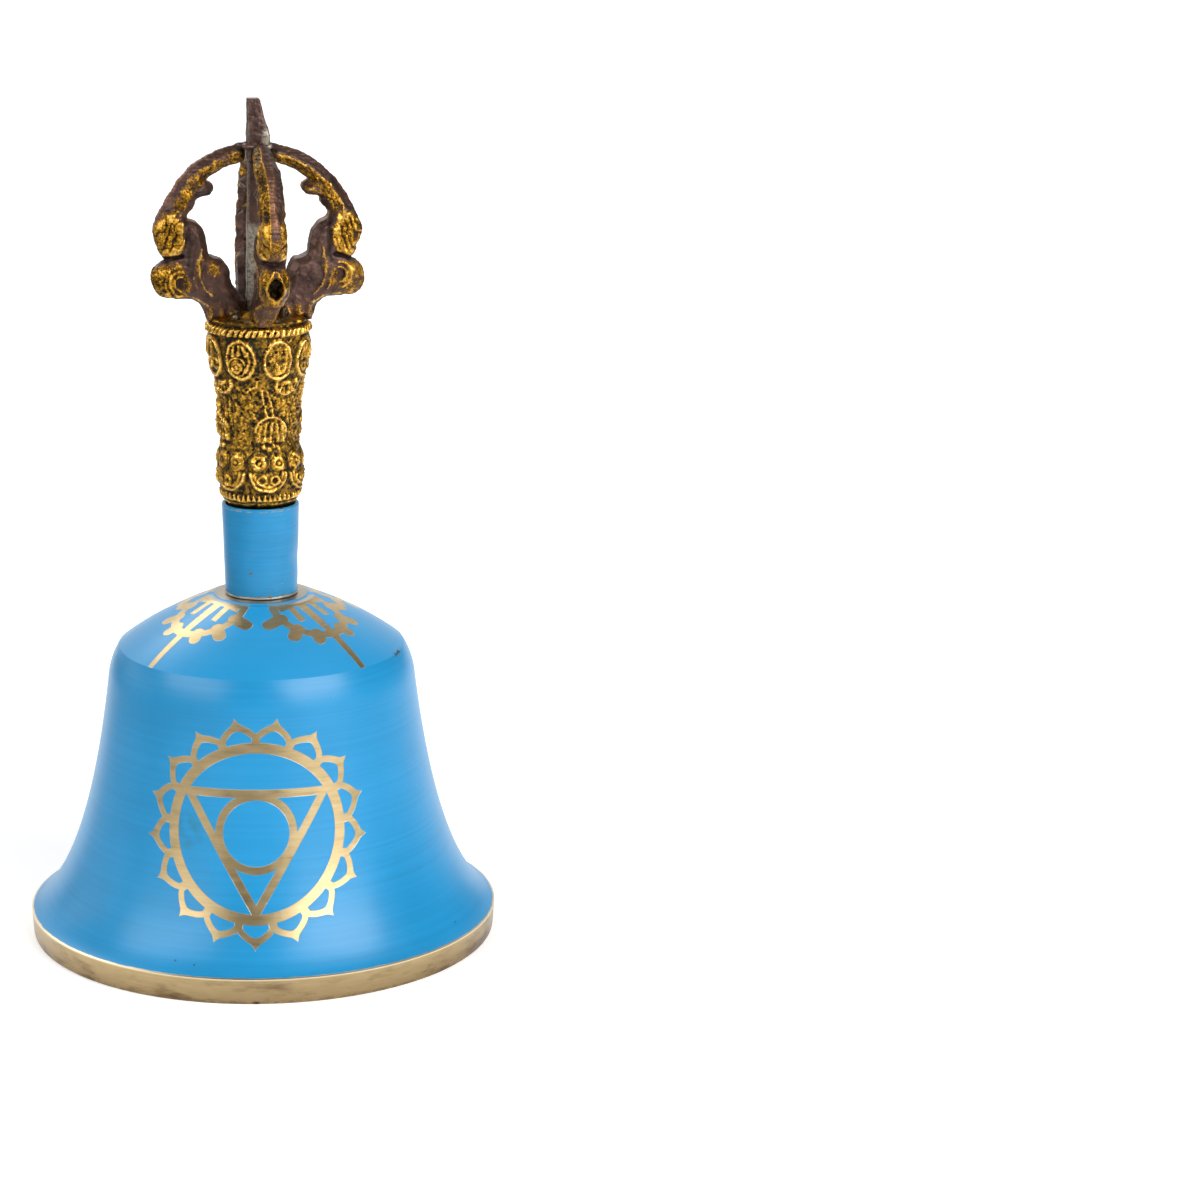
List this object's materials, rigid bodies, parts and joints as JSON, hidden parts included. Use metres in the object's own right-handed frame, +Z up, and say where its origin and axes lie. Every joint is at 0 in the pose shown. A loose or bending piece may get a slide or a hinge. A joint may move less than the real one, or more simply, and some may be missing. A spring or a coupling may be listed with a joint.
{
  "type": "tibetan hand bell",
  "caption": "Painted brass hand bell with a cast half-vajra handle of arched prongs, and a clapper hanging inside on a wire ring; it stands on its lip.",
  "frame": {"origin": "on the bell's axis, in the plane of the lip that it stands on", "axes": "+Z up along the bell's axis, from the lip to the tip; -Y towards the front prong, about 9 degrees to the right of the symbol on the waist"},
  "size_m": [0.098, 0.098, 0.1747],
  "materials": {
    "blue_enamel": "satin enamel with lathe lines",
    "cast_brass": "gilt cast brass with dark patina in the hollows",
    "patina_brass": "brown patina, rubbed through on the high points",
    "bare_brass": "turned and brushed",
    "steel": "dull, drawn",
    "solder": "dull soft solder"
  },
  "bodies": {
    "bell": {"bell_body": "blue_enamel", "neck_sleeve": "blue_enamel", "grip_casting": "cast_brass", "prong_front": "patina_brass", "prong_back": "patina_brass", "prong_left": "patina_brass", "prong_right": "patina_brass", "centre_bar": "steel", "finial_tip": "patina_brass", "tip_solder": "solder", "foot_solder_front_left": "solder", "foot_solder_front_right": "solder", "foot_solder_back_left": "solder", "foot_solder_back_right": "solder", "tie_rod": "steel", "crown_washer": "steel", "crown_nut": "steel"},
    "hanger": {"hanger_ring": "steel"},
    "clapper": {"clapper_rod": "steel", "clapper_bob": "bare_brass"}
  },
  "joints": [
    {"name": "clapper_swing", "type": "hinge", "parent": "bell", "child": "hanger", "pos_m": [0, 0, 0.05911], "axis": [1, 0, 0], "range_deg": [-32, 32]},
    {"name": "clapper_sway", "type": "hinge", "parent": "hanger", "child": "clapper", "pos_m": [0, 0, 0.05381], "axis": [0, 1, 0], "range_deg": [-15, 15]}
  ]
}
